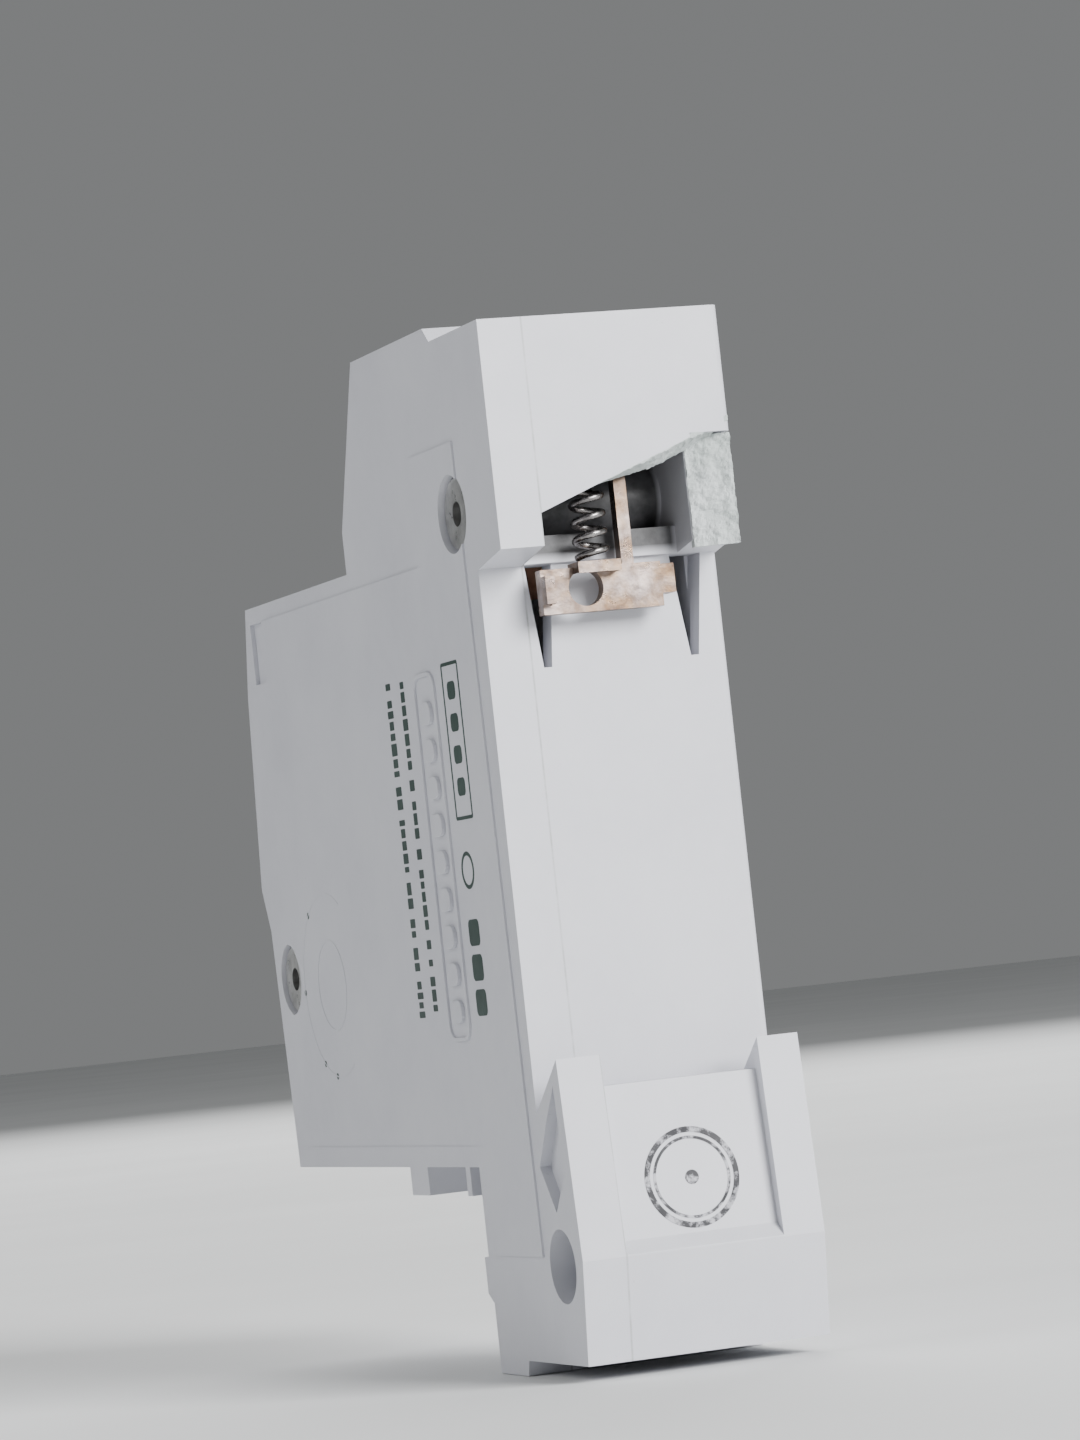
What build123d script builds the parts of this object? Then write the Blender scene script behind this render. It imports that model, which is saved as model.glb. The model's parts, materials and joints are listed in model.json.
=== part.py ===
from build123d import *
import math
import os

# One-module miniature circuit breaker for a 35 mm top-hat rail, in millimetres.
# +Z runs up the tall side, +Y points at the rail, -Y at the toggle, X across the module.
# The origin is the middle of the rail seat: y = 0 is the panel that the rail's flanges
# lie on. Side profiles are drawn in the YZ plane and extruded along X.

# ---- driving dimensions -------------------------------------------------------------
module_width = 18.0
cover_thickness = 3.24
wall = 1.6

top_z = 37.5
shoulder_rise = 1.1
shoulder_step_y = -5.4
shoulder_front_y = -23.4
shoulder_knee = (-29.6, 26.6)
nose_top_z = 23.4
nose_height = 44.6
nose_front_y = -57.4
nose_bulge = 2.6
bulge_z = 1.1
neck_front_y = -13.5
foot_z = -36.0
block_bottom_z = -34.9
back_depth = 5.1
ridge_depth = 6.2
ridge_z = -27.7
ear_top_z = -13.8
groove_z = -17.5
seat_top_z = 20.6

rivet_places = ((-4.1, 25.0), (-54.3, -6.3))
rivet_head_r = 2.8
rivet_shank_r = 1.5
rivet_recess = 0.9
hole_place = (2.1, -28.1)
hole_r = 2.6

toggle_pivot = (-51.2, 3.9)
drum_r = 7.6
hub_r = 5.2
drum_from_deg = 60.0
drum_to_deg = 232.0
toggle_width = 9.2
toggle_rest_deg = 34.0
slot_reach = 8.4
handle_reach = 17.0
pin_r = 1.0
toggle_pin_r = 0.8
running = 0.05
free = 0.25

arm_pivot = (-43.45, -7.1)
arm_length = 16.0
arm_rest_deg = -2.0
arm_travel_deg = 20.4
link_crank_r = 3.2
link_eye_r = 8.0
link_wire_r = 0.35
eye_clearance = 0.75

trip_pivot = (-34.5, 4.5)
coil_z = 11.5
coil_front_y = -24.4
coil_back_y = -7.6
plunger_r = 2.4
striker_r = 0.8

screw_travel = 2.8
screw_r = 2.0
screw_head_r = 2.9
lower_head_y = -34.0
lower_screw_z = -15.2
upper_head_y = -25.6
upper_screw_z = 30.6

latch_travel = 3.0
latch_low_z = 16.9
latch_y = 1.3
latch_thick = 1.0
spring_x = 1.25
spring_r = 1.3
spring_wire_r = 0.25
spring_low_z = 20.45
spring_high_z = 31.0

half = module_width / 2
parting_x = half - cover_thickness
inner = half - wall
nose_bottom_z = nose_top_z - nose_height

os.makedirs("parts", exist_ok=True)


def side_plane(x):
    """The YZ plane at x: sketch coordinates there are (y, z)."""
    return Plane.YZ.offset(x)


def save(piece, name):
    """Label a finished piece and write its file."""
    piece.label = name
    export_step(piece, f"parts/{name}.step")


def turned(pivot, degrees, x=0.0):
    """A YZ plane at x with its origin on a pivot and its first axis turned up by degrees."""
    angle = math.radians(degrees)
    direction = (0, math.cos(angle), math.sin(angle))
    return Plane(origin=(x, pivot[0], pivot[1]), x_dir=direction, z_dir=(1, 0, 0))


def polar(pivot, radius, degrees):
    """The (y, z) point at a radius and an angle about a pivot."""
    angle = math.radians(degrees)
    return (pivot[0] + radius * math.cos(angle), pivot[1] + radius * math.sin(angle))


# ---- the case's outline -------------------------------------------------------------
outline = [
    (back_depth, seat_top_z + 0.9),
    (back_depth, top_z),
    (shoulder_step_y, top_z),
    (shoulder_step_y - 1.2, top_z + shoulder_rise),
    (shoulder_front_y, top_z + shoulder_rise),
    shoulder_knee,
    (shoulder_knee[0], nose_top_z),
    (nose_front_y + 0.8, nose_top_z),
    (nose_front_y - 0.9, nose_top_z - 7.0),
    (nose_front_y - nose_bulge, bulge_z),
    (nose_front_y - 1.2, bulge_z - 3.4),
    (nose_front_y, nose_bottom_z),
    (neck_front_y, nose_bottom_z),
    (neck_front_y, ridge_z),
    (neck_front_y - 0.9, ridge_z),
    (neck_front_y - 0.9, ridge_z - 2.6),
    (neck_front_y + 0.2, ridge_z - 3.3),
    (neck_front_y + 0.2, foot_z),
    (neck_front_y + 6.0, foot_z),
    (neck_front_y + 6.4, block_bottom_z),
    (back_depth, block_bottom_z),
    (ridge_depth, ridge_z),
    (back_depth, ear_top_z),
    (0, groove_z),
    (0, seat_top_z),
]

lower_chamber_top = lower_screw_z + 4.5
mechanism_floor = lower_chamber_top + 1.0
chamber_front = lower_head_y + 2.5
upper_front = upper_head_y + 2.5
mechanism_cavity = [
    (-47.2, mechanism_floor),
    (-47.2, nose_top_z - wall),
    (-1.8, nose_top_z - wall),
    (-1.8, mechanism_floor),
]
lower_chamber = [
    (chamber_front, lower_chamber_top),
    (-14.9, lower_chamber_top),
    (-14.9, nose_bottom_z + wall),
    (chamber_front, nose_bottom_z + wall),
]
upper_chamber = [
    (upper_front, nose_top_z + 2.2),
    (-7.0, nose_top_z + 2.2),
    (-7.0, top_z - 0.6),
    (upper_front, top_z - 0.6),
]
latch_cavity = [
    (0.4, seat_top_z - 3.0),
    (0.4, spring_high_z + 0.3),
    (3.6, spring_high_z + 0.3),
    (3.6, seat_top_z - 3.0),
]
latch_recess = [
    (0.5, nose_top_z - wall + 0.8),
    (0.5, spring_high_z + 0.3),
    (-6.2, spring_high_z + 0.3),
    (-6.2, nose_top_z - wall + 0.8),
]
neck_cavity = [
    (neck_front_y + 1.8, nose_bottom_z + 0.4),
    (-2.0, nose_bottom_z + 0.4),
    (-2.0, foot_z + 3.2),
    (neck_front_y + 1.8, foot_z + 3.2),
]
cavities = (mechanism_cavity, lower_chamber, upper_chamber, neck_cavity)
bar_slot = (-23.4, -20.9)
window_y = (-24.0, -16.6)
collar_y = (-29.4, -15.6)
collar_drop = 2.1
front_post_y = -25.3

chip_left_z = 23.8
chip_right_z = 29.5
mouth_x = (-5.85, parting_x)
plate_z = (-26.7, -15.9)
plate_x = (-5.95, parting_x)
plate_depth = 0.9
guide_depth = 2.4
pad_step = 0.15
pad = [
    (-2.6, 30.0),
    (-12.1, 30.0),
    (-12.5, 22.1),
    (-52.2, 22.1),
    (-54.0, 16.8),
    (-53.9, 3.2),
    (-54.5, -2.9),
    (-55.3, -17.4),
    (-53.7, -19.5),
    (-12.8, -19.6),
    (-12.8, -26.5),
    (-11.1, -27.5),
    (-1.5, -27.5),
]


def well(y_head, z_screw, y_mouth):
    """Screwdriver well and head pocket along Y, as solids to cut."""
    with BuildPart(mode=Mode.PRIVATE) as tool:
        with BuildSketch(Plane.XZ.offset(-(y_head - 0.3))):
            with Locations((0, z_screw)):
                Circle(screw_head_r - 0.3)
        extrude(amount=y_head - 0.3 - y_mouth)
        with BuildSketch(Plane.XZ.offset(-(y_head + 2.6))):
            with Locations((0, z_screw)):
                Circle(screw_head_r + 0.2)
        extrude(amount=2.9)
    return tool.part


def box_between(low, high):
    """A box from its lowest to its highest corner, used as a cutting or joining tool."""
    size = [b - a for a, b in zip(low, high)]
    centre = [(a + b) / 2 for a, b in zip(low, high)]
    return Pos(*centre) * Box(*size, mode=Mode.PRIVATE)


def case_half(x_low, x_high, hollow_low, hollow_high):
    """One half of the case between two x planes, hollow between two others."""
    with BuildPart() as shell:
        with BuildSketch(side_plane(x_low)):
            with BuildLine():
                Polyline(*outline, close=True)
            make_face()
        extrude(amount=x_high - x_low)
        with BuildSketch(side_plane(x_low)):
            with Locations(((collar_y[0] + front_post_y) / 2, nose_bottom_z - collar_drop / 2)):
                Rectangle(front_post_y - collar_y[0], collar_drop)
            with Locations(((window_y[1] + collar_y[1]) / 2, nose_bottom_z - collar_drop / 2)):
                Rectangle(collar_y[1] - window_y[1], collar_drop)
        extrude(amount=x_high - x_low)
        for profile in cavities:
            with BuildSketch(side_plane(hollow_low)):
                with BuildLine():
                    Polyline(*profile, close=True)
                make_face()
            extrude(amount=hollow_high - hollow_low, mode=Mode.SUBTRACT)
        with BuildSketch(side_plane(max(hollow_low, -toggle_width / 2 - 2.6))):
            with Locations(toggle_pivot):
                Circle(drum_r + free)
        extrude(amount=hollow_high - max(hollow_low, -toggle_width / 2 - 2.6), mode=Mode.SUBTRACT)
        with BuildSketch(side_plane(hollow_low)):
            for place in rivet_places:
                with Locations(place):
                    Circle(rivet_shank_r + 1.3)
        extrude(amount=hollow_high - hollow_low)
        with BuildSketch(side_plane(x_low)):
            for place in rivet_places:
                with Locations(place):
                    Circle(rivet_shank_r + running)
            with Locations(hole_place):
                Circle(hole_r)
        extrude(amount=x_high - x_low, mode=Mode.SUBTRACT)
        with BuildSketch(side_plane(-inner - 0.9)):
            for place, radius in ((toggle_pivot, toggle_pin_r), (arm_pivot, pin_r), (trip_pivot, pin_r)):
                with Locations(place):
                    Circle(radius + running)
        extrude(amount=2 * (inner + 0.9), mode=Mode.SUBTRACT)
        slot_half = toggle_width / 2 + free
        add(box_between((-slot_half, nose_front_y - 5, toggle_pivot[1] - slot_reach),
                        (slot_half, toggle_pivot[0] - 4.5, toggle_pivot[1] + slot_reach)), mode=Mode.SUBTRACT)
        add(well(lower_head_y, lower_screw_z, nose_front_y - 5), mode=Mode.SUBTRACT)
        add(well(upper_head_y, upper_screw_z, shoulder_knee[0] - 2), mode=Mode.SUBTRACT)
        add(box_between((-4.6, -21.9, nose_bottom_z - 4), (4.6, window_y[1], nose_bottom_z + 3)),
            mode=Mode.SUBTRACT)
        add(box_between((-4.6, -18.6, top_z - 2), (4.6, -8.5, top_z + 4)), mode=Mode.SUBTRACT)
        add(box_between((2.8, bar_slot[0], lower_chamber_top - 1), (inner, bar_slot[1], mechanism_floor + 1)),
            mode=Mode.SUBTRACT)
        add(box_between((-3.9, -18.2, nose_top_z - 3), (3.9, -12.9, nose_top_z + 4)), mode=Mode.SUBTRACT)
    return shell.part


# ---- base housing: the deep half with the rail latch --------------------------------
with BuildPart() as base_housing:
    add(case_half(-half, parting_x, -inner, parting_x))
    with BuildSketch(side_plane(mouth_x[0])):
        with BuildLine():
            Polyline(*latch_cavity, close=True)
        make_face()
    extrude(amount=mouth_x[1] - mouth_x[0], mode=Mode.SUBTRACT)
    # the deep part of the latch's chamber, round the boss of the upper rivet
    with BuildSketch(side_plane(mouth_x[0])):
        with BuildLine():
            Polyline(*latch_recess, close=True)
        make_face()
        with Locations(rivet_places[0]):
            Circle(rivet_shank_r + 1.0, mode=Mode.SUBTRACT)
    extrude(amount=mouth_x[1] - mouth_x[0], mode=Mode.SUBTRACT)
    # the broken corner: everything behind the latch below a slanted line is gone
    with BuildSketch(Plane.XZ.offset(-(back_depth + 1))):
        with BuildLine():
            Polyline((parting_x, seat_top_z - 3), (parting_x, chip_left_z), (mouth_x[0], chip_right_z - 1.2),
                     (mouth_x[0], seat_top_z - 3), close=True)
        make_face()
    extrude(amount=back_depth + 1 - 0.4, mode=Mode.SUBTRACT)
    with BuildSketch(Plane.XY.offset(seat_top_z - 1)):
        with BuildLine():
            Polyline((mouth_x[0], back_depth + 1), (-half - 1, back_depth + 1), (-half - 1, back_depth - 0.5),
                     (mouth_x[0], back_depth - 1.6), close=True)
        make_face()
    extrude(amount=chip_right_z - 0.9 - seat_top_z + 1, mode=Mode.SUBTRACT)
    # two V-shaped guide recesses in the panel under the latch
    for slot_x, slot_half_width in ((4.6, 1.0), (-6.5, 1.2)):
        with BuildSketch(Plane.XZ):
            with BuildLine():
                Polyline((slot_x - slot_half_width, seat_top_z), (slot_x + slot_half_width, seat_top_z),
                         (slot_x + 0.3, 13.4), (slot_x - 0.3, 13.4), close=True)
            make_face()
        extrude(amount=guide_depth, mode=Mode.SUBTRACT)
    with BuildSketch(side_plane(plate_x[0])):
        with BuildLine():
            Polyline((ridge_depth - plate_depth, plate_z[0]), (back_depth - plate_depth, plate_z[1]),
                     (ridge_depth + 1, plate_z[1]), (ridge_depth + 1, plate_z[0] - 1.9), close=True)
        make_face()
    extrude(amount=plate_x[1] - plate_x[0], mode=Mode.SUBTRACT)
    add(box_between((plate_x[0], 0, plate_z[1] - 0.1), (plate_x[1], ridge_depth + 1, ear_top_z + 1)),
        mode=Mode.SUBTRACT)
    corner_edges = base_housing.edges().filter_by(Axis.Z).group_by(Axis.X)[0]
    fillet(corner_edges.filter_by(lambda e: e.length > 5), radius=0.6)
save(base_housing.part, "base_housing")

# ---- side cover: the shallow half, with its printed side ----------------------------
with BuildPart() as side_cover:
    add(case_half(parting_x, half, parting_x, inner))
    with BuildSketch(side_plane(half)):
        with BuildLine():
            Polyline(*pad, close=True)
        make_face()
    extrude(amount=pad_step)
    with BuildSketch(side_plane(half + pad_step)):
        for place in rivet_places:
            with Locations(place):
                Circle(rivet_head_r)
        with Locations((-53.9, 19.7)):
            Rectangle(3.5, 4.8)
    extrude(amount=-(pad_step + 0.35), mode=Mode.SUBTRACT)
    with BuildSketch(side_plane(half)):
        for place in rivet_places:
            with Locations(place):
                Circle(rivet_head_r)
    extrude(amount=-rivet_recess, mode=Mode.SUBTRACT)
    with BuildSketch(side_plane(half)):
        with BuildLine():
            Polyline((3.9, -15.6), (1.7, -18.2), (-0.5, -21.2), (2.0, -24.4), (4.4, -21.6), close=True)
        make_face()
    extrude(amount=-0.8, mode=Mode.SUBTRACT)
save(side_cover.part, "side_cover")

# ---- rivets that hold the halves together -------------------------------------------
for number, place in enumerate(rivet_places, start=1):
    with BuildPart() as rivet:
        with BuildSketch(side_plane(-half + 0.2)):
            with Locations(place):
                Circle(rivet_shank_r)
        extrude(amount=module_width - rivet_recess - 0.2)
        with BuildSketch(side_plane(half - rivet_recess)):
            with Locations(place):
                Circle(rivet_head_r - 0.3)
        extrude(amount=0.6)
        with BuildSketch(side_plane(half - rivet_recess + 0.6)):
            with Locations(place):
                Circle(rivet_shank_r - 0.6)
        extrude(amount=-6, mode=Mode.SUBTRACT)
    save(rivet.part, f"rivet_{number}")

# ---- toggle, its pivot pin and its torsion spring -----------------------------------
crank_deg = 90 - toggle_rest_deg
crank_place = polar(toggle_pivot, link_crank_r, crank_deg)
eye_deg = 75.0
eye_place = polar(arm_pivot, link_eye_r, eye_deg)

with BuildPart() as toggle:
    with BuildSketch(side_plane(-toggle_width / 2)):
        with Locations(toggle_pivot):
            Circle(hub_r)
        with BuildLine():
            CenterArc(toggle_pivot, drum_r, drum_from_deg, drum_to_deg - drum_from_deg)
            Line(polar(toggle_pivot, drum_r, drum_to_deg), toggle_pivot)
            Line(toggle_pivot, polar(toggle_pivot, drum_r, drum_from_deg))
        make_face()
    extrude(amount=toggle_width)
    with BuildSketch(turned(toggle_pivot, 180 - toggle_rest_deg, -toggle_width / 2 + 0.2)):
        with BuildLine():
            Polyline((5.5, -2.6), (handle_reach - 0.5, -1.6), (handle_reach, -1.0), (handle_reach, 1.0),
                     (handle_reach - 0.5, 1.6), (5.5, 2.6), close=True)
        make_face()
    extrude(amount=toggle_width - 0.4)
    with BuildSketch(side_plane(-toggle_width / 2)):
        with Locations(toggle_pivot):
            Circle(toggle_pin_r + running)
    extrude(amount=toggle_width, mode=Mode.SUBTRACT)
    with BuildSketch(side_plane(toggle_width / 2)):
        with Locations(crank_place):
            Circle(link_wire_r + running)
    extrude(amount=-2.0, mode=Mode.SUBTRACT)
save(toggle.part, "toggle_lever")


def pivot_pin(place, radius, name):
    """A plain steel pin across the case."""
    with BuildPart() as pin:
        with BuildSketch(side_plane(-inner - 0.8)):
            with Locations(place):
                Circle(radius)
        extrude(amount=2 * (inner + 0.8))
    save(pin.part, name)


pivot_pin(toggle_pivot, toggle_pin_r, "toggle_pivot_pin")
pivot_pin(arm_pivot, pin_r, "contact_pivot_pin")
pivot_pin(trip_pivot, pin_r, "trip_lever_pin")


def helix_spring(origin, direction, radius, wire_r, pitch, height):
    """A round-wire helix about an axis, as one solid."""
    plane = Plane(origin=origin, z_dir=direction)
    path = Helix(pitch=pitch, height=height, radius=radius)
    path = plane.from_local_coords(path)
    start = Plane(origin=path @ 0, z_dir=path % 0)
    with BuildPart() as spring:
        with BuildSketch(start):
            Circle(wire_r)
        sweep(path=path, is_frenet=True)
    return spring.part


torsion_x = -toggle_width / 2 - 2.3
save(helix_spring((torsion_x, *toggle_pivot), (1, 0, 0), 1.75, 0.25, 0.62, 1.86), "toggle_spring")

# ---- U-shaped link from the toggle's crank to the contact carrier -------------------
link_x = toggle_width / 2 + 0.75
with BuildPart() as link:
    span = math.dist(crank_place, eye_place)
    lean = math.degrees(math.atan2(eye_place[1] - crank_place[1], eye_place[0] - crank_place[0]))
    with BuildSketch(turned(crank_place, lean, link_x - link_wire_r)):
        with Locations((span / 2, 0)):
            SlotCenterToCenter(span, 2 * link_wire_r)
    extrude(amount=2 * link_wire_r)
    with BuildSketch(side_plane(toggle_width / 2 - 1.8)):
        with Locations(crank_place):
            Circle(link_wire_r)
    extrude(amount=link_x - toggle_width / 2 + 1.8)
    with BuildSketch(side_plane(1.4)):
        with Locations(eye_place):
            Circle(link_wire_r)
    extrude(amount=link_x - 1.4)
save(link.part, "toggle_link")

# ---- contact carrier and moving contact ---------------------------------------------
blade_half = 0.8
with BuildPart() as carrier:
    with BuildSketch(side_plane(-3.0)):
        with Locations(arm_pivot):
            Circle(2.6)
        with BuildLine():
            Polyline(polar(arm_pivot, 2.4, eye_deg + 90), polar(eye_place, 1.9, eye_deg + 90),
                     polar(eye_place, 1.9, eye_deg - 90), polar(arm_pivot, 2.4, eye_deg - 90), close=True)
        make_face()
        with Locations(eye_place):
            Circle(1.9)
    extrude(amount=6.0)
    with BuildSketch(side_plane(-3.0)):
        with Locations(arm_pivot):
            Circle(pin_r + running)
        with Locations(eye_place):
            Circle(link_wire_r + eye_clearance)
    extrude(amount=6.0, mode=Mode.SUBTRACT)
    with BuildSketch(side_plane(-blade_half - 0.05)):
        with Locations(arm_pivot):
            Rectangle(7, 6.4)
    extrude(amount=2 * blade_half + 0.1, mode=Mode.SUBTRACT)
save(carrier.part, "contact_carrier")

contact_r = 1.5
contact_thick = 0.9
blade_width = 2.2
with BuildPart() as arm:
    with BuildSketch(turned(arm_pivot, arm_rest_deg, -blade_half)):
        Circle(2.4)
        with Locations((arm_length / 2 + 0.5, 0)):
            Rectangle(arm_length + 1, blade_width)
        Circle(pin_r + running, mode=Mode.SUBTRACT)
    extrude(amount=2 * blade_half)
save(arm.part, "moving_contact_arm")


def contact_disc(degrees, low, name):
    """A round silver contact pad, facing across the arm at a given arm angle."""
    angle = math.radians(degrees)
    along = (0, math.cos(angle), math.sin(angle))
    across = (0, -math.sin(angle), math.cos(angle))
    centre = [arm_length * a + low * b for a, b in zip(along, across)]
    origin = (0, arm_pivot[0] + centre[1], arm_pivot[1] + centre[2])
    with BuildPart() as disc:
        with BuildSketch(Plane(origin=origin, x_dir=(1, 0, 0), z_dir=across)):
            Circle(contact_r)
        extrude(amount=contact_thick)
    save(disc.part, name)


contact_disc(arm_rest_deg, blade_width / 2, "moving_contact_tip")
closed_deg = arm_rest_deg + arm_travel_deg
fixed_low = blade_width / 2 + contact_thick + 0.1
contact_disc(closed_deg, fixed_low, "fixed_contact_tip")

# ---- fixed contact strip: from the contact, up and back under the coil --------------
strip = 0.9
with BuildPart() as fixed_contact:
    with BuildSketch(turned(arm_pivot, closed_deg, -1.9)):
        low = fixed_low + contact_thick
        with Locations((arm_length + 0.6, low + strip / 2)):
            Rectangle(5.0, strip)
    extrude(amount=3.8)
    heel = polar(arm_pivot, math.hypot(arm_length + 2.9, low + strip / 2),
                 closed_deg + math.degrees(math.atan2(low + strip / 2, arm_length + 2.9)))
    with BuildSketch(side_plane(-1.9)):
        with Locations(((heel[0] - 6.5) / 2, heel[1])):
            Rectangle(-6.5 - heel[0] + strip, strip)
    extrude(amount=3.8)
save(fixed_contact.part, "fixed_contact")

# ---- arc chute: notched steel plates between two fibre cheeks -----------------------
plate_count = 6
plate_pitch = 1.35
plate_thick = 0.6
chute_front = -23.0
chute_back = -5.0
chute_low = mechanism_floor + 1.5
with BuildPart() as plates:
    for number in range(plate_count):
        with BuildSketch(Plane.XY.offset(chute_low + number * plate_pitch)):
            with Locations((0, (chute_front + chute_back) / 2)):
                Rectangle(11.0, chute_back - chute_front)
            with BuildLine():
                Polyline((-1.8, chute_front - 1), (1.8, chute_front - 1), (0, chute_front + 6), close=True)
            make_face(mode=Mode.SUBTRACT)
        extrude(amount=plate_thick)
save(plates.part, "arc_chute_plates")

chute_top = chute_low + (plate_count - 1) * plate_pitch + plate_thick
for side, name in ((-1, "arc_chute_cheek_left"), (1, "arc_chute_cheek_right")):
    with BuildPart() as cheek:
        low_x = min(side * 5.6, side * 6.4)
        add(box_between((low_x, chute_front, chute_low - 0.3), (low_x + 0.8, chute_back, chute_top + 0.3)))
    save(cheek.part, name)

# ---- magnetic trip: bobbin, coil, yoke, pole piece and plunger ----------------------
bobbin_bore = plunger_r + 0.2
bobbin_r = bobbin_bore + 0.7
flange_r = 6.0
flange = 0.9


def ring_along_y(y_low, y_high, outer, bore, name):
    """A tube along Y on the coil's axis."""
    with BuildPart() as tube:
        with BuildSketch(Plane.XZ.offset(-y_high)):
            with Locations((0, coil_z)):
                Circle(outer)
                Circle(bore, mode=Mode.SUBTRACT)
        extrude(amount=y_high - y_low)
    if name:
        save(tube.part, name)
    return tube.part


with BuildPart() as bobbin:
    add(ring_along_y(coil_front_y, coil_back_y, bobbin_r, bobbin_bore, ""))
    add(ring_along_y(coil_front_y, coil_front_y + flange, flange_r, bobbin_bore, ""))
    add(ring_along_y(coil_back_y - flange, coil_back_y, flange_r, bobbin_bore, ""))
save(bobbin.part, "coil_bobbin")

wire_r = 0.65
turns = 8
coil_pitch = 1.7
coil_start = (coil_front_y + coil_back_y) / 2 - turns * coil_pitch / 2
save(helix_spring((0, coil_start, coil_z), (0, 1, 0), bobbin_r + wire_r + 0.1, wire_r, coil_pitch,
                  turns * coil_pitch), "trip_coil")

yoke_thick = 1.0
with BuildPart() as yoke:
    add(box_between((-5, coil_front_y - yoke_thick - 0.1, coil_z - 5.6),
                    (5, coil_front_y - 0.1, coil_z + flange_r + 1.2)))
    add(box_between((-5, coil_back_y + 0.1, coil_z - 5.6),
                    (5, coil_back_y + 0.1 + yoke_thick, coil_z + flange_r + 1.2)))
    add(box_between((-5, coil_front_y - yoke_thick - 0.1, coil_z + flange_r + 0.2),
                    (5, coil_back_y + 0.1 + yoke_thick, coil_z + flange_r + 1.2)))
    with BuildSketch(Plane.XZ.offset(-(coil_back_y + 3))):
        with Locations((0, coil_z)):
            Circle(striker_r + 0.3)
    extrude(amount=30, mode=Mode.SUBTRACT)
save(yoke.part, "magnet_yoke")

ring_along_y(coil_front_y, coil_front_y + 3.0, plunger_r + 0.15, striker_r + running + 0.03, "pole_piece")
plunger_front = coil_front_y + 9.0
ring_along_y(plunger_front, coil_back_y - 0.6, plunger_r, 0.5, "plunger")
striker_tip = trip_pivot[0] + 1.3
with BuildPart() as striker:
    with BuildSketch(Plane.XZ.offset(-plunger_front)):
        with Locations((0, coil_z)):
            Circle(striker_r)
    extrude(amount=plunger_front - striker_tip)
save(striker.part, "striker_pin")
save(helix_spring((0, plunger_front - 3.5, coil_z), (0, 1, 0), 1.5, 0.25, 1.0, 3.2), "plunger_spring")

# ---- trip lever, bimetal and the braid ----------------------------------------------
with BuildPart() as trip_lever:
    with BuildSketch(side_plane(-2.3)):
        with Locations(trip_pivot):
            Circle(2.2)
        with BuildLine():
            y, z = trip_pivot
            Polyline((y - 1.0, z), (y - 1.0, z + 9.5), (y + 0.9, z + 9.5), (y + 0.9, z), (y + 0.6, z - 5.2),
                     (y - 1.8, z - 5.2), (y - 1.8, z - 4.2), (y - 0.8, z - 3.8), close=True)
        make_face()
        with Locations(trip_pivot):
            Circle(pin_r + running, mode=Mode.SUBTRACT)
    extrude(amount=4.6)
    add(box_between((2.3, trip_pivot[0] - 1.0, trip_pivot[1] + 7.6), (6.4, trip_pivot[0] + 0.6, trip_pivot[1] + 9.5)))
save(trip_lever.part, "trip_lever")

bimetal_y = -31.4
bar_top = mechanism_floor + 0.95
with BuildPart() as bimetal:
    add(box_between((3.2, bimetal_y, bar_top), (6.4, bimetal_y + 0.8, trip_pivot[1] + 10.5)))
save(bimetal.part, "bimetal_strip")
with BuildPart() as trim_screw:
    with BuildSketch(Plane.XZ.offset(-bimetal_y)):
        with Locations((4.8, trip_pivot[1] + 8.5)):
            Circle(0.7)
    extrude(amount=1.4)
save(trim_screw.part, "calibration_screw")

braid_x = 3.9
braid_r = 0.7
with BuildPart() as braid:
    with BuildLine() as braid_path:
        FilletPolyline((braid_x, bimetal_y - 0.25, 9.0), (braid_x, -37.6, 7.6), (braid_x, -40.2, -2.5),
                       (braid_x, arm_pivot[0] + 0.6, arm_pivot[1] + 1.9), radius=2.6)
    with BuildSketch(Plane(origin=braid_path.line @ 0, z_dir=braid_path.line % 0)):
        Circle(braid_r)
    sweep()
save(braid.part, "bimetal_braid")


# ---- screw clamp terminals ----------------------------------------------------------
def terminal(prefix, y_head, z_mid):
    """Screw, clamp cage and conductor bar of one terminal; the screw lies along Y."""
    head_back = y_head + 2.5
    bar_front = y_head + 11.3
    bar_back = bar_front + 1.2
    cage_front = head_back + screw_travel + 0.3
    cage_back = bar_back + 5.8
    with BuildPart() as screw:
        with BuildSketch(Plane.XZ.offset(-head_back)):
            with Locations((0, z_mid)):
                Circle(screw_head_r)
        extrude(amount=2.5)
        with BuildSketch(Plane.XZ.offset(-(bar_front - 0.3))):
            with Locations((0, z_mid)):
                Circle(screw_r)
        extrude(amount=bar_front - 0.3 - head_back)
        add(box_between((-3.0, y_head - 0.5, z_mid - 0.4), (3.0, y_head + 1.1, z_mid + 0.4)),
            mode=Mode.SUBTRACT)
        add(box_between((-0.4, y_head - 0.5, z_mid - 1.9), (0.4, y_head + 1.1, z_mid + 1.9)),
            mode=Mode.SUBTRACT)
    save(screw.part, f"{prefix}_terminal_screw")
    with BuildPart() as cage:
        add(box_between((-5.4, cage_front, z_mid - 3.7), (5.4, cage_back, z_mid + 3.7)))
        add(box_between((-4.2, cage_front + 2.0, z_mid - 4), (4.2, cage_back - 1.2, z_mid + 4)),
            mode=Mode.SUBTRACT)
        with BuildSketch(Plane.XZ.offset(-(cage_front + 2.5))):
            with Locations((0, z_mid)):
                Circle(screw_r + running)
        extrude(amount=3.0, mode=Mode.SUBTRACT)
    save(cage.part, f"{prefix}_clamp_cage")
    return bar_front, bar_back


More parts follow.
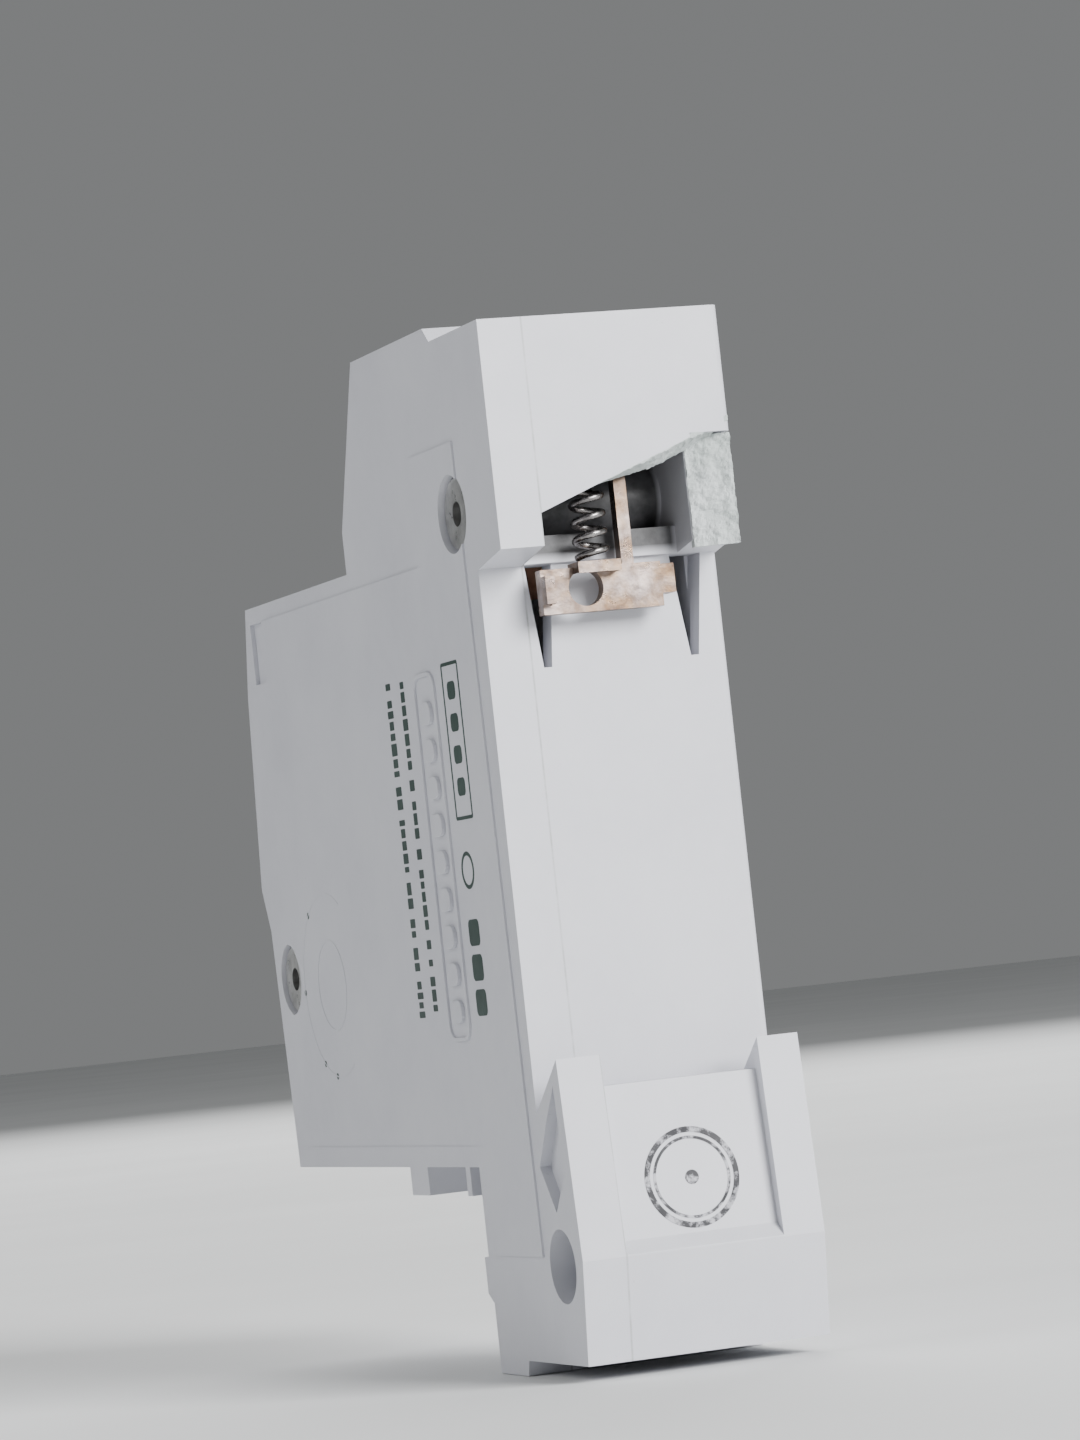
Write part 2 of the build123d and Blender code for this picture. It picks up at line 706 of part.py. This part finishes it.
lower_bar_front, lower_bar_back = terminal("lower", lower_head_y, lower_screw_z)
with BuildPart() as lower_bar:
    add(box_between((-3.6, lower_bar_front, lower_screw_z - 3.9), (3.6, lower_bar_back, lower_screw_z + 4.2)))
    add(box_between((3.2, lower_bar_front, lower_screw_z + 3.8), (6.4, lower_bar_back, bar_top)))
    add(box_between((3.2, bimetal_y - 0.6, mechanism_floor + 0.15), (6.4, lower_bar_back, bar_top)))
save(lower_bar.part, "lower_terminal_bar")

upper_bar_front, upper_bar_back = terminal("upper", upper_head_y, upper_screw_z)
with BuildPart() as upper_bar:
    add(box_between((-3.6, upper_bar_front, coil_z + flange_r + 1.3), (3.6, upper_bar_back, upper_screw_z + 3.9)))
save(upper_bar.part, "upper_terminal_bar")

# ---- rail latch and its spring ------------------------------------------------------
with BuildPart() as latch:
    back = latch_y + latch_thick
    add(box_between((-3.7, latch_y, latch_low_z), (5.3, back, spring_low_z - 0.4)))
    add(box_between((-1.75, latch_y, latch_low_z + 1), (-0.85, back, spring_high_z - latch_travel - 0.4)))
    add(box_between((-4.7, latch_y - 0.8, latch_low_z + 0.9), (-3.7, back, spring_low_z - 0.6)))
    add(box_between((4.6, latch_y, latch_low_z + 0.7), (5.3, back + 0.9, spring_low_z - 0.9)))
    add(box_between((spring_x - 1.6, latch_y, spring_low_z - 0.9), (spring_x + 1.6, back + 1.2, spring_low_z - 0.1)))
    with BuildSketch(Plane.XZ.offset(-(back + 1))):
        with Locations((2.0, latch_low_z + 1.7)):
            Circle(1.3)
    extrude(amount=4, mode=Mode.SUBTRACT)
save(latch.part, "rail_latch")

latch_spring_height = spring_high_z - spring_low_z - 2 * spring_wire_r - 0.1
save(helix_spring((spring_x, latch_y + 0.8, spring_low_z + spring_wire_r), (0, 0, 1), spring_r - spring_wire_r,
                  spring_wire_r, latch_spring_height / 8, latch_spring_height), "rail_latch_spring")
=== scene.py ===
import bpy
import bmesh
import json
import math
import random
from mathutils import Matrix, Vector, noise


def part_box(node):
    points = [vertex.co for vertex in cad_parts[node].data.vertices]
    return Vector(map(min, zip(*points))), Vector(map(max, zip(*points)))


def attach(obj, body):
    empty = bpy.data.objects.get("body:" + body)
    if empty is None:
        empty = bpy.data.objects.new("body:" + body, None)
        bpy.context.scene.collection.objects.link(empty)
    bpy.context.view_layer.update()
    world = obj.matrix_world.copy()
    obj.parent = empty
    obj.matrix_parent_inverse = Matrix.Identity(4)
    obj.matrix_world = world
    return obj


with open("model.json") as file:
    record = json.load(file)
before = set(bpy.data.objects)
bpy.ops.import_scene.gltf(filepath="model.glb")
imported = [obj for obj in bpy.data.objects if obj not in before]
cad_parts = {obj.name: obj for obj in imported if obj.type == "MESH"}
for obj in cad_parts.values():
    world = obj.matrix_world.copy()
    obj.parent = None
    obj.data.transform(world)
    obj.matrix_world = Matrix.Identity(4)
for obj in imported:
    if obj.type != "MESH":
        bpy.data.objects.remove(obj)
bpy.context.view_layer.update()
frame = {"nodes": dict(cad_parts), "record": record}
MM = 0.001

# ---- places taken from the frame ------------------------------------------------------
cover_low, cover_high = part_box("side_cover")
base_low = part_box("base_housing")[0]
SIDE_X = cover_high[0]
PARTING_X = cover_low[0]
BASE_X = base_low[0]
FLOOR_Z = min(base_low[2], cover_low[2])
BACK_Y = 5.1 * MM
PLATE_LOW = (5.3 * MM, -26.7 * MM)
PLATE_HIGH = (4.2 * MM, -15.9 * MM)
PLATE_MIDDLE = (-0.1 * MM, -22.9 * MM)
ARM_PIVOT = (-43.45 * MM, -7.1 * MM)
TOGGLE_PIVOT = (0, -51.2 * MM, 3.9 * MM)
CHAMBER_LOW = (-5.95 * MM, -6.5 * MM, 20.9 * MM)
CHAMBER_HIGH = (5.73 * MM, 3.75 * MM, 31.6 * MM)
INK_THICK = 0.012 * MM
EDGE_ANGLE = math.radians(32)


# ---- materials ------------------------------------------------------------------------
class Shader:
    """A material with a few shorthand calls for its nodes."""

    def __init__(self, name):
        self.material = bpy.data.materials.new(name)
        self.material.use_nodes = True
        self.nodes = self.material.node_tree.nodes
        self.links = self.material.node_tree.links
        self.surface = self.nodes["Principled BSDF"]
        self.place = self.nodes.new("ShaderNodeTexCoord").outputs["Object"]

    def link(self, source, target):
        self.links.new(source, target)

    def noise(self, scale, detail=4.0, rough=0.6, stretch=None):
        """Noise in the object's own metres; scale is in features per metre."""
        texture = self.nodes.new("ShaderNodeTexNoise")
        texture.inputs["Scale"].default_value = scale
        texture.inputs["Detail"].default_value = detail
        texture.inputs["Roughness"].default_value = rough
        source = self.place
        if stretch:
            mapping = self.nodes.new("ShaderNodeMapping")
            mapping.inputs["Scale"].default_value = stretch
            self.link(source, mapping.inputs["Vector"])
            source = mapping.outputs["Vector"]
        self.link(source, texture.inputs["Vector"])
        return texture.outputs["Fac"]

    def ramp(self, factor, low, high, at=(0.35, 0.65)):
        """A colour ramp from low to high."""
        ramp = self.nodes.new("ShaderNodeValToRGB")
        for stop, colour, position in zip(ramp.color_ramp.elements, (low, high), at):
            stop.color = (*colour, 1)
            stop.position = position
        self.link(factor, ramp.inputs["Fac"])
        return ramp.outputs["Color"]

    def blend(self, factor, first, second):
        """Mixes two colour outputs by a factor output."""
        mix = self.nodes.new("ShaderNodeMix")
        mix.data_type = "RGBA"
        self.link(factor, mix.inputs["Factor"])
        self.link(first, mix.inputs["A"])
        self.link(second, mix.inputs["B"])
        return mix.outputs["Result"]

    def spread(self, factor, low, high):
        """Maps a 0 to 1 output to a range."""
        span = self.nodes.new("ShaderNodeMapRange")
        span.inputs["From Min"].default_value = 0.3
        span.inputs["From Max"].default_value = 0.7
        span.inputs["To Min"].default_value = low
        span.inputs["To Max"].default_value = high
        self.link(factor, span.inputs["Value"])
        return span.outputs["Result"]

    def bump(self, height, strength, distance):
        """Fine relief."""
        bump = self.nodes.new("ShaderNodeBump")
        bump.inputs["Strength"].default_value = strength
        bump.inputs["Distance"].default_value = distance
        self.link(height, bump.inputs["Height"])
        self.link(bump.outputs["Normal"], self.surface.inputs["Normal"])


def moulded(name, dark, light, rough=(0.38, 0.5), grain=2600, relief=0.06, specular=0.45):
    """Moulded plastic: faint clouding, fine pitting and a few dusty specks."""
    shader = Shader(name)
    cloud = shader.ramp(shader.noise(90, 5), dark, light)
    speck = shader.ramp(shader.noise(3800, 1, 0.4), [c * 0.72 for c in dark], light, (0.2, 0.27))
    speck_mask = shader.spread(shader.noise(700, 2), 0.0, 0.35)
    shader.link(shader.blend(speck_mask, cloud, speck), shader.surface.inputs["Base Color"])
    shader.link(shader.spread(shader.noise(220, 4), *rough), shader.surface.inputs["Roughness"])
    shader.surface.inputs["Specular IOR Level"].default_value = specular
    shader.bump(shader.noise(grain, 3), relief, 0.00012)
    return shader


def chamber_shade_mask(shader, parts):
    """Nearly 1 on the walls inside the latch's chamber, which carry painted shade, and 0 on every other
    surface.
    """
    limits = []
    for axis, low, high in zip("XYZ", CHAMBER_LOW, CHAMBER_HIGH):
        limits += [(axis, low, 1), (axis, high, -1)]
    mask = None
    for axis, limit, sign in limits:
        step = shader.nodes.new("ShaderNodeMapRange")
        step.inputs["From Min"].default_value = limit - sign * 0.1 * MM
        step.inputs["From Max"].default_value = limit + sign * 0.5 * MM
        shader.link(parts.outputs[axis], step.inputs["Value"])
        if mask is None:
            mask = step.outputs["Result"]
            continue
        product = shader.nodes.new("ShaderNodeMath")
        product.operation = "MULTIPLY"
        shader.link(mask, product.inputs[0])
        shader.link(step.outputs["Result"], product.inputs[1])
        mask = product.outputs[0]
    return mask


def housing_plastic(name):
    """The case's pale grey plastic, with dirt in the seam between the two halves and painted shade, near
    black, on the walls inside the latch's chamber.
    """
    shader = moulded(name, (0.600, 0.605, 0.655), (0.650, 0.655, 0.700), grain=1900, relief=0.05)
    parts = shader.nodes.new("ShaderNodeSeparateXYZ")
    shader.link(shader.place, parts.inputs["Vector"])
    offset = shader.nodes.new("ShaderNodeMath")
    offset.operation = "SUBTRACT"
    offset.inputs[1].default_value = PARTING_X
    shader.link(parts.outputs["X"], offset.inputs[0])
    size = shader.nodes.new("ShaderNodeMath")
    size.operation = "ABSOLUTE"
    shader.link(offset.outputs[0], size.inputs[0])
    seam = shader.nodes.new("ShaderNodeMapRange")
    seam.inputs["From Min"].default_value = 0.03 * MM
    seam.inputs["From Max"].default_value = 0.10 * MM
    seam.inputs["To Min"].default_value = 0.75
    seam.inputs["To Max"].default_value = 0.0
    shader.link(size.outputs[0], seam.inputs["Value"])
    broken = shader.nodes.new("ShaderNodeMath")
    broken.operation = "MULTIPLY"
    shader.link(seam.outputs["Result"], broken.inputs[0])
    shader.link(shader.spread(shader.noise(420, 5), 0.15, 1.0), broken.inputs[1])
    old = shader.surface.inputs["Base Color"].links[0].from_socket
    dirt = shader.ramp(shader.noise(900, 3), (0.20, 0.21, 0.20), (0.34, 0.35, 0.34))
    seamed = shader.blend(broken.outputs[0], old, dirt)
    # Painted shade: the chamber's walls are coloured near black to stand in for the shadow inside the deep
    # cavity.
    painted_chamber_shade = shader.ramp(shader.noise(500, 4), (0.030, 0.030, 0.032), (0.10, 0.10, 0.105))
    shader.link(shader.blend(chamber_shade_mask(shader, parts), seamed, painted_chamber_shade), shader.surface.inputs["Base Color"])
    return shader.material


def metal(name, dark, light, rough=(0.25, 0.42), scale=700, stretch=None, relief=0.12):
    """Bare or plated metal with streaks, stains and fine scratches."""
    shader = Shader(name)
    shader.surface.inputs["Metallic"].default_value = 1.0
    tint = shader.ramp(shader.noise(scale, 6, 0.65, stretch), dark, light)
    shader.link(tint, shader.surface.inputs["Base Color"])
    gloss = shader.spread(shader.noise(scale * 1.7, 4, 0.6, stretch), *rough)
    shader.link(gloss, shader.surface.inputs["Roughness"])
    shader.bump(shader.noise(scale * 4, 5, 0.6, stretch), relief, 0.00008)
    return shader.material


def tarnished(name):
    """Worn nickel plate gone brown in patches."""
    shader = Shader(name)
    shader.surface.inputs["Metallic"].default_value = 1.0
    plate = shader.ramp(shader.noise(500, 5), (0.13, 0.105, 0.10), (0.44, 0.38, 0.36))
    stain = shader.ramp(shader.noise(800, 6), (0.07, 0.04, 0.025), (0.26, 0.16, 0.08))
    patches = shader.spread(shader.noise(330, 6, 0.7), 0.0, 1.0)
    shader.link(shader.blend(patches, plate, stain), shader.surface.inputs["Base Color"])
    shader.link(shader.spread(shader.noise(600, 5), 0.22, 0.5), shader.surface.inputs["Roughness"])
    shader.bump(shader.noise(1500, 6, 0.7), 0.25, 0.0001)
    return shader.material


MATERIALS = {
    "housing": housing_plastic("housing_plastic"),
    "toggle": moulded("toggle_plastic", (0.012, 0.012, 0.014), (0.022, 0.022, 0.025), (0.28, 0.4)).material,
    "inner_plastic": moulded("inner_plastic", (0.05, 0.035, 0.028), (0.085, 0.06, 0.045),
                             (0.5, 0.65)).material,
    "steel": metal("zinc_plate", (0.50, 0.50, 0.49), (0.74, 0.74, 0.73)),
    "latch_steel": tarnished("tarnished_nickel"),
    "spring_steel": metal("spring_wire", (0.14, 0.13, 0.13), (0.42, 0.40, 0.39), (0.2, 0.35), 900),
    "copper": metal("copper", (0.55, 0.27, 0.17), (0.83, 0.47, 0.33)),
    "silver": metal("silver", (0.70, 0.69, 0.66), (0.88, 0.87, 0.84), (0.2, 0.35)),
    "bimetal": metal("bimetal", (0.42, 0.38, 0.33), (0.64, 0.60, 0.54), (0.3, 0.45), 600, (6, 6, 1)),
    "fibre": moulded("fibre_sheet", (0.24, 0.17, 0.12), (0.34, 0.26, 0.19), (0.6, 0.75), 1500, 0.15).material,
}
ink = moulded("dark_ink", (0.012, 0.035, 0.028), (0.03, 0.06, 0.05), (0.35, 0.5), 3000, 0.1).material
rough_break = moulded("broken_plastic", (0.42, 0.47, 0.45), (0.64, 0.67, 0.68), (0.6, 0.85),
                      2600, 0.9).material

# ---- CAD nodes: materials and softened edges -----------------------------------------
EDGE = {"base_housing": 0.22, "side_cover": 0.22, "toggle_lever": 0.35, "rail_latch": 0.10}
SMOOTH = ("trip_coil", "rail_latch_spring", "toggle_spring", "plunger_spring", "bimetal_braid")
slots = {row["node"]: row["material_slot"] for row in frame["record"]["subparts"]}
for node, node_object in frame["nodes"].items():
    node_object.data.materials.clear()
    node_object.data.materials.append(MATERIALS[slots[node]])
    if node in SMOOTH:
        continue
    bevel = node_object.modifiers.new("soft_edges", "BEVEL")
    bevel.width = EDGE.get(node, 0.08) * MM
    bevel.segments = 3 if node in EDGE else 2
    bevel.limit_method = "ANGLE"
    bevel.angle_limit = EDGE_ANGLE
    bevel.harden_normals = False


# ---- mesh helpers ---------------------------------------------------------------------
def piece(name, mesh, material, body="case", edge=0.0):
    """Turns a bmesh into a piece that rides on a body."""
    bmesh.ops.recalc_face_normals(mesh, faces=mesh.faces)
    data = bpy.data.meshes.new(name)
    mesh.to_mesh(data)
    mesh.free()
    made = bpy.data.objects.new(name, data)
    bpy.context.scene.collection.objects.link(made)
    data.materials.append(material)
    if edge:
        bevel = made.modifiers.new("soft_edges", "BEVEL")
        bevel.width = edge
        bevel.segments = 3
        bevel.limit_method = "ANGLE"
    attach(made, body)


def prism(mesh, outline, low, high, place):
    """A closed prism of a 2-D outline between two heights; place maps (u, v, h) to the frame."""
    rings = [[mesh.verts.new(place(u, v, h)) for u, v in outline] for h in (low, high)]
    mesh.faces.new(list(reversed(rings[0])))
    mesh.faces.new(rings[1])
    count = len(outline)
    for i in range(count):
        j = (i + 1) % count
        mesh.faces.new((rings[0][i], rings[0][j], rings[1][j], rings[1][i]))


def ring(mesh, centre, outer, inner, low, high, place, start=0.0, sweep=360.0, steps=72):
    """A flat ring, or part of one, with a rectangular section."""
    closed = sweep >= 360.0
    loops = []
    for i in range(steps if closed else steps + 1):
        angle = math.radians(start + sweep * i / steps)
        c, s = math.cos(angle), math.sin(angle)
        corners = ((inner, low), (outer, low), (outer, high), (inner, high))
        loops.append([mesh.verts.new(place(centre[0] + r * c, centre[1] + r * s, h)) for r, h in corners])
    count = len(loops)
    for i in range(count if closed else count - 1):
        first, second = loops[i], loops[(i + 1) % count]
        for k in range(4):
            mesh.faces.new((first[k], first[(k + 1) % 4], second[(k + 1) % 4], second[k]))
    if not closed:
        mesh.faces.new(list(reversed(loops[0])))
        mesh.faces.new(loops[-1])


def on_side(y, z, h):
    """A point on the cover's side: h is outwards from the raised pad."""
    return Vector((SIDE_X + h, y, z))


def on_plate(x, z, h):
    """A point on the recessed, slightly leaning plate at the back: h is outwards."""
    share = (z - PLATE_LOW[1]) / (PLATE_HIGH[1] - PLATE_LOW[1])
    return Vector((x, PLATE_LOW[0] + (PLATE_HIGH[0] - PLATE_LOW[0]) * share + h, z))


def rounded_box(low, high, radius, steps=5):
    """The outline of a rectangle with round corners."""
    points = []
    corners = ((high[0], high[1], 0), (low[0], high[1], 90), (low[0], low[1], 180), (high[0], low[1], 270))
    for u, v, turn in corners:
        centre_u = u - radius if u == high[0] else u + radius
        centre_v = v - radius if v == high[1] else v + radius
        for i in range(steps + 1):
            angle = math.radians(turn + 90 * i / steps)
            points.append((centre_u + radius * math.cos(angle), centre_v + radius * math.sin(angle)))
    return points


def frame_outline(mesh, low, high, radius, line, depth, place):
    """A rectangular line frame made of a ring of quads."""
    outer = rounded_box(low, high, radius)
    inner_low = (low[0] + line, low[1] + line)
    inner_high = (high[0] - line, high[1] - line)
    inner = rounded_box(inner_low, inner_high, max(radius - line, line / 4))
    loops = []
    for (ou, ov), (iu, iv) in zip(outer, inner):
        loops.append([mesh.verts.new(place(u, v, h)) for u, v, h in
                      ((iu, iv, -depth), (ou, ov, -depth), (ou, ov, depth), (iu, iv, depth))])
    for i, first in enumerate(loops):
        second = loops[(i + 1) % len(loops)]
        for k in range(4):
            mesh.faces.new((first[k], first[(k + 1) % 4], second[(k + 1) % 4], second[k]))


# ---- generic marks on the side cover --------------------------------------------------
def greeked_line(name, y_middle, z_low, z_high, tall, seed):
    """A printed line of plain dashes: it stands where small print was and holds no letters."""
    rng = random.Random(seed)
    mesh = bmesh.new()
    z = z_low
    while z < z_high:
        length = rng.uniform(0.35, 0.95) * MM
        height = tall * rng.uniform(0.72, 1.0)
        low = (y_middle - height / 2, z)
        high = (y_middle + height / 2, min(z + length, z_high))
        prism(mesh, rounded_box(low, high, 0.08 * MM, 2), -0.01 * MM, INK_THICK, on_side)
        z += length + rng.choice((0.22, 0.22, 0.22, 0.75)) * MM
    piece(name, mesh, ink)


def raised_frame():
    """Raised border with a row of plain raised ovals in it, where a name stood in relief."""
    mesh = bmesh.new()
    low, high = (-16.1 * MM, -12.1 * MM), (-11.4 * MM, 14.6 * MM)
    frame_outline(mesh, low, high, 1.3 * MM, 0.3 * MM, 0.2 * MM, on_side)
    count = 9
    pitch = (high[1] - low[1] - 2.4 * MM) / count
    for i in range(count):
        z = low[1] + 1.3 * MM + i * pitch
        box = rounded_box((low[0] + 1.2 * MM, z), (high[0] - 1.1 * MM, z + pitch * 0.62), 0.75 * MM)
        prism(mesh, box, -0.02 * MM, 0.3 * MM, on_side)
    piece("raised_frame", mesh, MATERIALS["housing"], edge=0.06 * MM)


def printed_marks():
    """A printed box with bars, a small ring and three blocks."""
    mesh = bmesh.new()
    low, high = (-9.9 * MM, 3.6 * MM), (-6.2 * MM, 14.9 * MM)
    frame_outline(mesh, low, high, 0.25 * MM, 0.26 * MM, INK_THICK, on_side)
    for i in range(4):
        z = (5.3 + 2.3 * i) * MM
        box = rounded_box((-8.9 * MM, z), (-7.2 * MM, z + 1.3 * MM), 0.4 * MM)
        prism(mesh, box, -INK_THICK, INK_THICK, on_side)
    ring(mesh, (-8.6 * MM, 0.0), 1.35 * MM, 1.05 * MM, -INK_THICK, INK_THICK, on_side)
    for i in range(3):
        z = (-10.4 + 2.5 * i) * MM
        block = rounded_box((-9.8 * MM, z), (-7.5 * MM, z + 1.9 * MM), 0.45 * MM)
        prism(mesh, block, -INK_THICK, INK_THICK, on_side)
    piece("printed_marks", mesh, ink)


def witness_rings():
    """Faint mould rings round the contact pivot, with four tiny dots."""
    mesh = bmesh.new()
    ring(mesh, ARM_PIVOT, 3.55 * MM, 3.4 * MM, -0.02 * MM, 0.035 * MM, on_side)
    ring(mesh, ARM_PIVOT, 7.15 * MM, 7.05 * MM, -0.02 * MM, 0.02 * MM, on_side, 60, 240)
    piece("witness_rings", mesh, MATERIALS["housing"])
    mesh = bmesh.new()
    for turn in (128, 183, 238, 262):
        angle = math.radians(turn)
        centre = (ARM_PIVOT[0] + 7.1 * MM * math.cos(angle), ARM_PIVOT[1] + 7.1 * MM * math.sin(angle))
        ring(mesh, centre, 0.26 * MM, 0.02 * MM, -0.01 * MM, 0.015 * MM, on_side, steps=16)
    piece("witness_dots", mesh, ink)


def back_mark():
    """A plain double ring with a centre dot, full of patchy dirt, on the plate between the ears."""
    mesh = bmesh.new()
    ring(mesh, PLATE_MIDDLE, 3.5 * MM, 3.1 * MM, -0.05 * MM, 0.03 * MM, on_plate)
    ring(mesh, PLATE_MIDDLE, 2.85 * MM, 2.65 * MM, -0.05 * MM, 0.03 * MM, on_plate)
    ring(mesh, PLATE_MIDDLE, 0.5 * MM, 0.05 * MM, -0.05 * MM, 0.03 * MM, on_plate, steps=32)
    shader = Shader("worn_mark")
    dirt = shader.ramp(shader.noise(950, 5, 0.7), (0.035, 0.035, 0.04), (0.50, 0.50, 0.54), (0.47, 0.60))
    shader.link(dirt, shader.surface.inputs["Base Color"])
    shader.link(shader.spread(shader.noise(600, 3), 0.5, 0.75), shader.surface.inputs["Roughness"])
    shader.bump(shader.noise(2400, 3), 0.3, 0.0001)
    piece("back_mark", mesh, shader.material)


def fracture():
    """The rough broken face on the right wall of the latch's mouth."""
    mesh = bmesh.new()
    columns, rows = 26, 60
    left_x, right_x = -5.9 * MM, BASE_X + 0.05 * MM
    low_z, high_z = 20.7 * MM, 28.5 * MM

    def point(i, j, lift):
        x = left_x + (right_x - left_x) * i / columns
        z = low_z + (high_z - low_z) * j / rows
        share = i / columns
        face = (BACK_Y - 1.55 * MM) + 1.1 * MM * share
        rough = 0.22 * MM * noise.fractal(Vector((x, 0, z)) * 900, 0.8, 2.0, 5)
        return Vector((x, face + (max(rough, -0.1 * MM) + 0.12 * MM) * lift - 0.4 * MM * (1 - lift), z))

    front = [[mesh.verts.new(point(i, j, 1)) for j in range(rows + 1)] for i in range(columns + 1)]
    back = [[mesh.verts.new(point(i, j, 0)) for j in range(rows + 1)] for i in range(columns + 1)]
    for i in range(columns):
        for j in range(rows):
            mesh.faces.new((front[i][j], front[i + 1][j], front[i + 1][j + 1], front[i][j + 1]))
            mesh.faces.new((back[i][j + 1], back[i + 1][j + 1], back[i + 1][j], back[i][j]))
    for i in range(columns):
        for j in (0, rows):
            mesh.faces.new((front[i][j], back[i][j], back[i + 1][j], front[i + 1][j]))
    for j in range(rows):
        for i in (0, columns):
            mesh.faces.new((front[i][j], front[i][j + 1], back[i][j + 1], back[i][j]))
    piece("fracture_face", mesh, rough_break)


def slanted_break():
    """The rough edge of the back wall along the slant where the corner broke off."""
    mesh = bmesh.new()
    along, across = 90, 12
    start = Vector((1.2 * MM, 0, 25.55 * MM))
    end = Vector((BASE_X + 0.15 * MM, 0, 29.45 * MM))
    inner_y, outer_y = 3.65 * MM, BACK_Y - 0.02 * MM

    def point(i, j, drop):
        share = i / along
        base = start.lerp(end, share)
        y = inner_y + (outer_y - inner_y) * j / across
        lean = 0.75 * MM * (1 - j / across) * min(1.0, 2.2 * share)
        rough = 0.2 * MM * noise.fractal(Vector((base.x, y, 0)) * 1100, 0.8, 2.0, 5) * min(1.0, 3 * share)
        return Vector((base.x, y, base.z - (lean + abs(rough)) * drop + 0.25 * MM * (1 - drop)))

    low = [[mesh.verts.new(point(i, j, 1)) for j in range(across + 1)] for i in range(along + 1)]
    top = [[mesh.verts.new(point(i, j, 0)) for j in range(across + 1)] for i in range(along + 1)]
    for i in range(along):
        for j in range(across):
            mesh.faces.new((low[i][j], low[i + 1][j], low[i + 1][j + 1], low[i][j + 1]))
            mesh.faces.new((top[i][j + 1], top[i + 1][j + 1], top[i + 1][j], top[i][j]))
        for j in (0, across):
            mesh.faces.new((low[i][j], top[i][j], top[i + 1][j], low[i + 1][j]))
    for j in range(across):
        for i in (0, along):
            mesh.faces.new((low[i][j], low[i][j + 1], top[i][j + 1], top[i][j]))
    piece("slanted_break", mesh, rough_break)


def handle_ribs():
    """Three grip ribs across each face of the toggle's tip."""
    mesh = bmesh.new()
    pivot = Vector(TOGGLE_PIVOT)
    lean = math.radians(34)
    out = Vector((0, -math.cos(lean), math.sin(lean)))
    up = Vector((0, math.sin(lean), math.cos(lean)))
    half = 4.1 * MM
    width, thick, corner = 0.6 * MM, 0.42 * MM, 0.15 * MM

    def place(u, v, h):
        return pivot + out * u + up * v + Vector((h, 0, 0))

    for i in range(3):
        reach = (12.6 + 1.3 * i) * MM
        rise = (1.55 + 0.1 * (2 - i)) * MM
        for low, high in ((rise, rise + thick), (-rise - thick, -rise)):
            prism(mesh, rounded_box((reach, low), (reach + width, high), corner, 3), -half, half, place)
    piece("toggle_grip_ribs", mesh, MATERIALS["toggle"], body="toggle")


raised_frame()
printed_marks()
greeked_line("fine_print_upper", -19.0 * MM, -9.8 * MM, 14.4 * MM, 1.15 * MM, 3)
greeked_line("fine_print_lower", -22.2 * MM, -10.2 * MM, 14.9 * MM, 1.35 * MM, 8)
witness_rings()
back_mark()
fracture()
slanted_break()
handle_ribs()


# ---- stage, light and camera ----------------------------------------------------------
def stage_floor():
    """A flat pale floor just under the foot."""
    mesh = bmesh.new()
    level = FLOOR_Z - 0.05 * MM
    size = 2.5
    corners = ((-size, -size), (size, -size), (size, size), (-size, size))
    mesh.faces.new([mesh.verts.new((x, y, level)) for x, y in corners])
    data = bpy.data.meshes.new("floor")
    mesh.to_mesh(data)
    mesh.free()
    floor = bpy.data.objects.new("floor", data)
    bpy.context.scene.collection.objects.link(floor)
    shader = Shader("pale_floor")
    shader.link(shader.ramp(shader.noise(12, 3), (0.70, 0.71, 0.71), (0.74, 0.75, 0.75)),
                shader.surface.inputs["Base Color"])
    shader.surface.inputs["Roughness"].default_value = 0.85
    data.materials.append(shader.material)


def area_light(name, place, target, size, power, colour=(1, 1, 1)):
    """A square softbox that looks at a target."""
    data = bpy.data.lights.new(name, "AREA")
    data.size = size
    data.energy = power
    data.color = colour
    light = bpy.data.objects.new(name, data)
    light.location = place
    light.rotation_euler = (Vector(target) - Vector(place)).to_track_quat("-Z", "Y").to_euler()
    bpy.context.scene.collection.objects.link(light)


def studio():
    """Soft key on the rail side from the right, weak fill on the cover's side, pale world."""
    middle = (0, -0.02, 0)
    area_light("key", (-0.30, 0.66, 0.34), middle, 0.38, 13.0)
    area_light("fill", (0.62, -0.16, 0.42), middle, 0.40, 2.0)
    area_light("front", (-0.30, -0.70, 0.45), middle, 0.60, 6.0)
    world = bpy.data.worlds.new("studio")
    bpy.context.scene.world = world
    world.use_nodes = True
    world.node_tree.nodes["Background"].inputs["Color"].default_value = (0.93, 0.95, 0.96, 1)
    world.node_tree.nodes["Background"].inputs["Strength"].default_value = 0.22


def camera():
    """The photo's view: from the rail side, a little low, with the picture rolled."""
    data = bpy.data.cameras.new("camera")
    data.sensor_width = 36.0
    data.lens = 131.6
    data.clip_start = 0.01
    made = bpy.data.objects.new("camera", data)
    bpy.context.scene.collection.objects.link(made)
    place = Vector((131.23, 345.52, -7.22)) * MM
    away = Vector((0.34127, 0.93883, -0.04617)).normalized()
    right = (-away).cross(Vector((0, 0, 1))).normalized()
    up = right.cross(-away)
    roll = math.radians(-6.14)
    right_rolled = math.cos(roll) * right + math.sin(roll) * up
    up_rolled = -math.sin(roll) * right + math.cos(roll) * up
    axes = Matrix((right_rolled, up_rolled, away)).transposed().to_4x4()
    made.matrix_world = Matrix.Translation(place) @ axes
    bpy.context.scene.camera = made


stage_floor()
studio()
camera()
